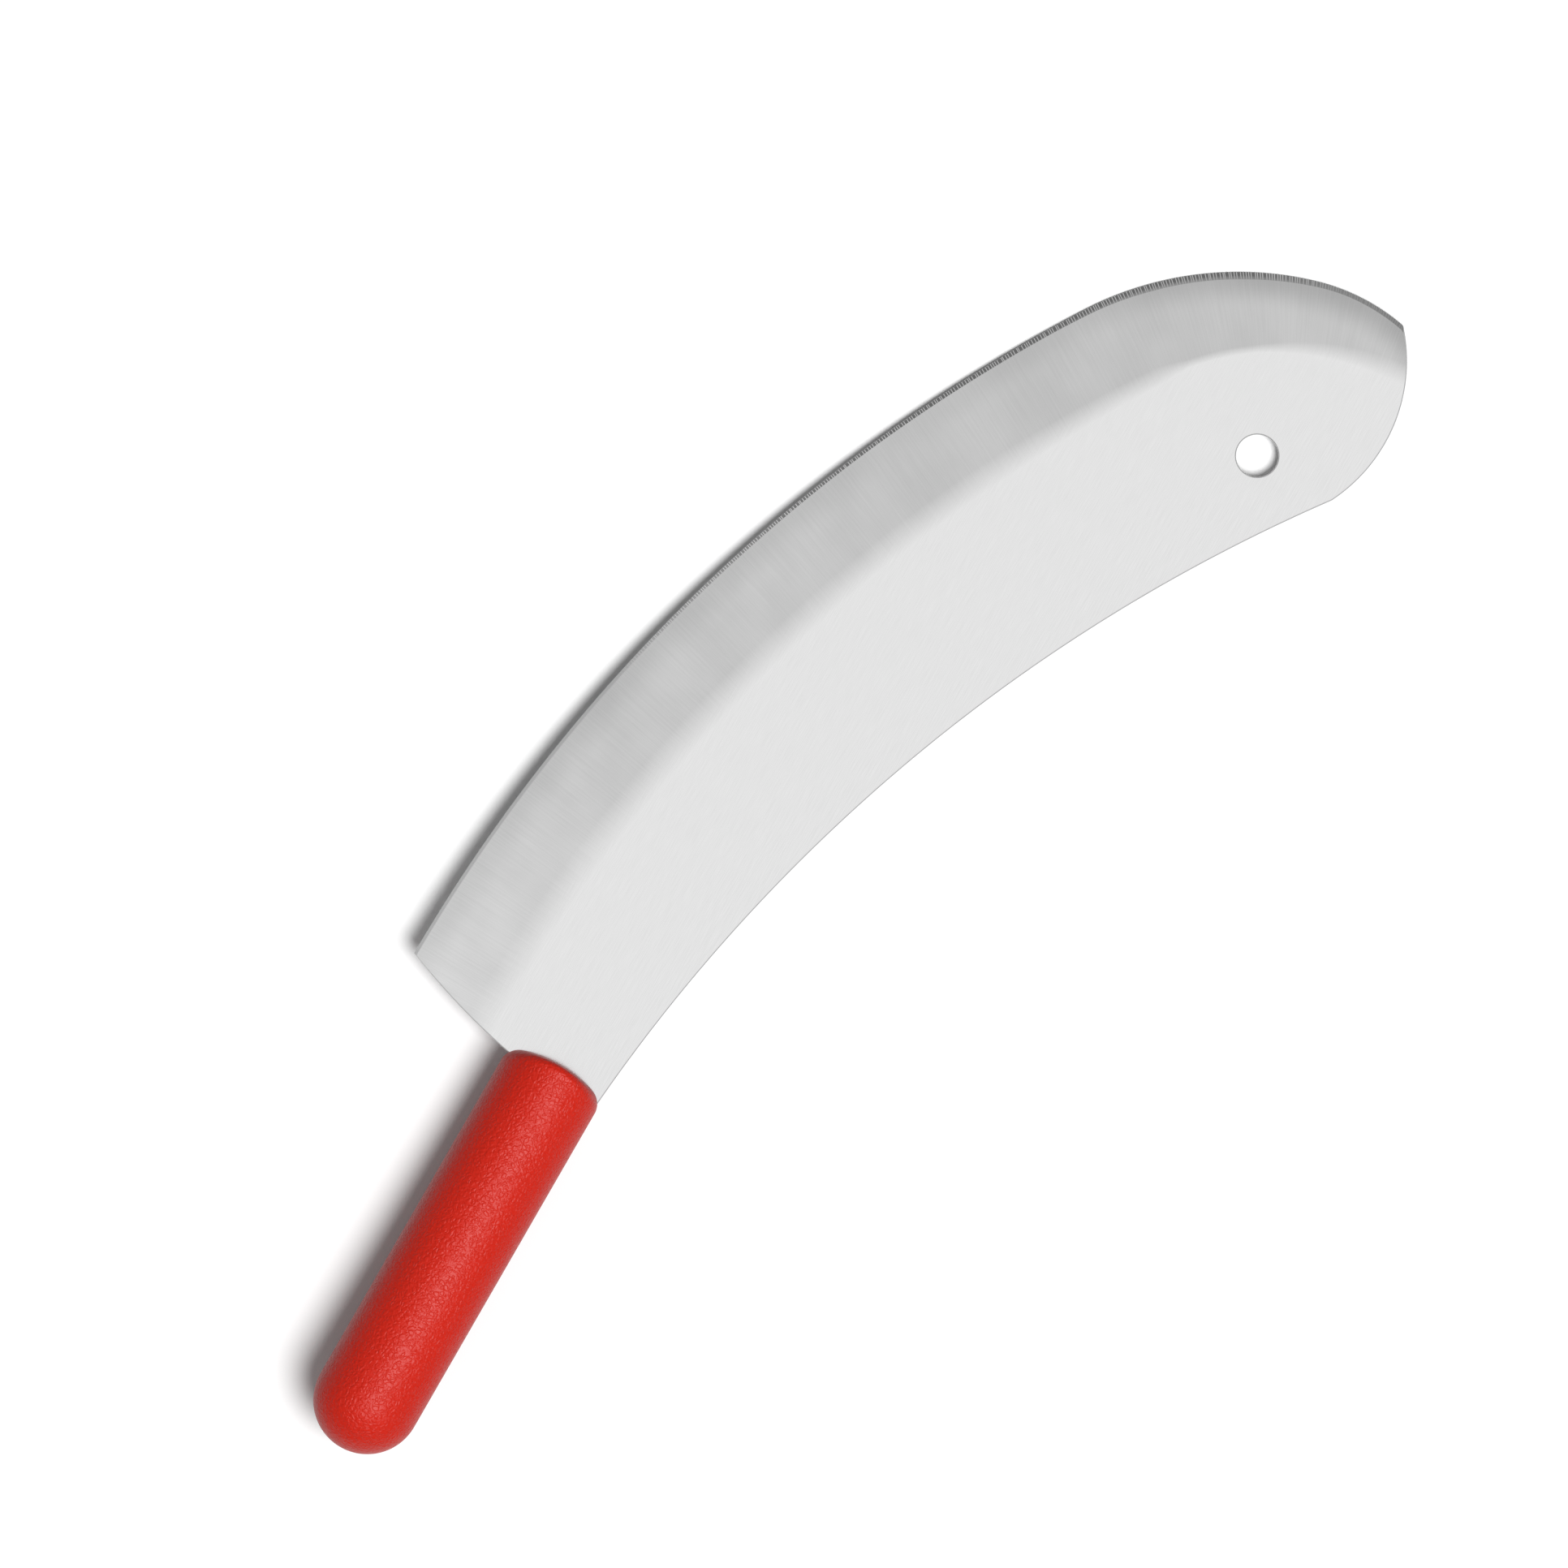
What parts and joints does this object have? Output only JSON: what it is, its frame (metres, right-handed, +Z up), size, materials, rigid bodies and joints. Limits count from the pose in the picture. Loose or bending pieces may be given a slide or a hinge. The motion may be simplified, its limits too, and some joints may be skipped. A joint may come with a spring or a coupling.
{
  "type": "mezzaluna knife",
  "caption": "One-handled chopping knife: a long sickle-shaped steel blade with a hollow back and a hanging hole, and a round moulded plastic handle.",
  "frame": {"origin": "centre of the bounding box, on the surface that the knife lies on", "axes": "+X along the handle towards the blade's tip, +Y towards the cutting edge at the heel, +Z up; the blade leans down to its cutting edge by under 4 degrees"},
  "size_m": [0.4464, 0.1745, 0.0381],
  "materials": {
    "blade_steel": "satin",
    "handle_plastic": "satin"
  },
  "bodies": {
    "root": {"blade": "blade_steel", "handle": "handle_plastic"}
  },
  "joints": []
}
